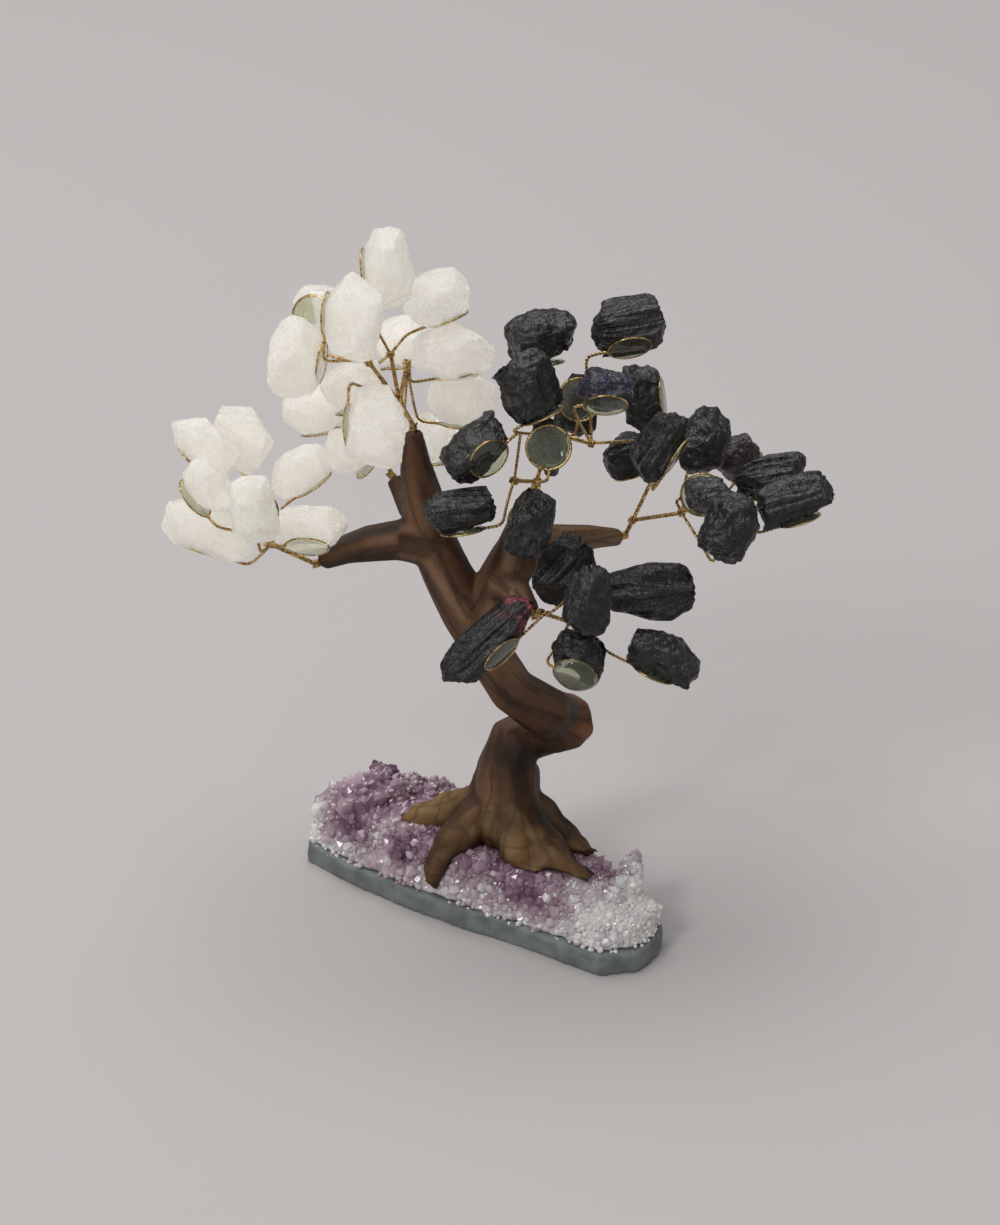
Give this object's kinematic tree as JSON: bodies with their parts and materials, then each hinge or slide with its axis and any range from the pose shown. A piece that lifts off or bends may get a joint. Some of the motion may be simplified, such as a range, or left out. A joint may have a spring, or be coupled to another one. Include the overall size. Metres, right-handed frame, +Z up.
{
  "type": "gemstone tree ornament",
  "caption": "Tabletop tree with rough quartz and black tourmaline stones glued in brass wire loops, on a painted clay trunk rooted on an amethyst slab.",
  "frame": {"origin": "middle of the slab's flat underside, on the table", "axes": "+Z up, +X to the right in the picture, +Y away from the viewer"},
  "size_m": [0.1666, 0.0834, 0.1789],
  "materials": {
    "rind_rock": "sawn, dull",
    "amethyst": "crystal points, sparkling",
    "painted_clay": "painted, satin",
    "core_wire": "drawn",
    "brass_wire": "drawn, bright",
    "clear_glue": "clear, glossy",
    "milky_quartz": "rough, translucent",
    "black_tourmaline": "striated, glassy"
  },
  "bodies": {
    "tree": {"rind": "rind_rock", "crust": "amethyst", "trunk": "painted_clay", "core": "core_wire"},
    "left_spray": {"left_wires": "brass_wire", "left_glue": "clear_glue", "left_quartz_1": "milky_quartz", "left_quartz_2": "milky_quartz", "left_quartz_3": "milky_quartz", "left_quartz_4": "milky_quartz", "left_quartz_5": "milky_quartz", "left_quartz_6": "milky_quartz", "left_quartz_7": "milky_quartz"},
    "top_spray": {"top_wires": "brass_wire", "top_glue": "clear_glue", "top_quartz_1": "milky_quartz", "top_quartz_2": "milky_quartz", "top_quartz_3": "milky_quartz", "top_quartz_4": "milky_quartz", "top_quartz_5": "milky_quartz", "top_quartz_6": "milky_quartz", "top_quartz_7": "milky_quartz", "top_quartz_8": "milky_quartz", "top_quartz_9": "milky_quartz", "top_quartz_10": "milky_quartz", "top_quartz_11": "milky_quartz"},
    "back_spray": {"back_wires": "brass_wire", "back_glue": "clear_glue", "back_quartz_1": "milky_quartz", "back_quartz_2": "milky_quartz"},
    "middle_spray": {"middle_wires": "brass_wire", "middle_glue": "clear_glue", "middle_tourmaline_1": "black_tourmaline", "middle_tourmaline_2": "black_tourmaline", "middle_tourmaline_3": "black_tourmaline", "middle_tourmaline_4": "black_tourmaline", "middle_tourmaline_5": "black_tourmaline", "middle_tourmaline_6": "black_tourmaline", "middle_tourmaline_7": "black_tourmaline", "middle_tourmaline_8": "black_tourmaline", "middle_tourmaline_9": "black_tourmaline", "middle_tourmaline_10": "black_tourmaline"},
    "right_spray": {"right_wires": "brass_wire", "right_glue": "clear_glue", "right_tourmaline_1": "black_tourmaline", "right_tourmaline_2": "black_tourmaline", "right_tourmaline_3": "black_tourmaline", "right_tourmaline_4": "black_tourmaline", "right_tourmaline_5": "black_tourmaline", "right_tourmaline_6": "black_tourmaline", "right_tourmaline_7": "black_tourmaline", "right_tourmaline_8": "black_tourmaline"},
    "front_spray": {"front_wires": "brass_wire", "front_glue": "clear_glue", "front_tourmaline_1": "black_tourmaline", "front_tourmaline_2": "black_tourmaline", "front_tourmaline_3": "black_tourmaline", "front_tourmaline_4": "black_tourmaline", "front_tourmaline_5": "black_tourmaline", "front_tourmaline_6": "black_tourmaline"}
  },
  "joints": [
    {"name": "left_bend", "type": "hinge", "parent": "tree", "child": "left_spray", "pos_m": [-0.0405, 0.0015, 0.094], "axis": [0, 0, 1], "range_deg": [-5, 5]},
    {"name": "top_bend", "type": "hinge", "parent": "tree", "child": "top_spray", "pos_m": [-0.0175, 0.005, 0.1275], "axis": [1, 0, 0], "range_deg": [-5, 5]},
    {"name": "back_bend", "type": "hinge", "parent": "tree", "child": "back_spray", "pos_m": [-0.0225, 0.013, 0.1115], "axis": [0, 0, 1], "range_deg": [-5, 5]},
    {"name": "middle_bend", "type": "hinge", "parent": "tree", "child": "middle_spray", "pos_m": [0.0115, 0.002, 0.1125], "axis": [1, 0, 0], "range_deg": [-5, 5]},
    {"name": "right_bend", "type": "hinge", "parent": "tree", "child": "right_spray", "pos_m": [0.0335, 0.013, 0.0955], "axis": [0, 0, 1], "range_deg": [-5, 5]},
    {"name": "front_bend", "type": "hinge", "parent": "tree", "child": "front_spray", "pos_m": [0.0115, -0.014, 0.0885], "axis": [0, 0, 1], "range_deg": [-5, 5]}
  ]
}
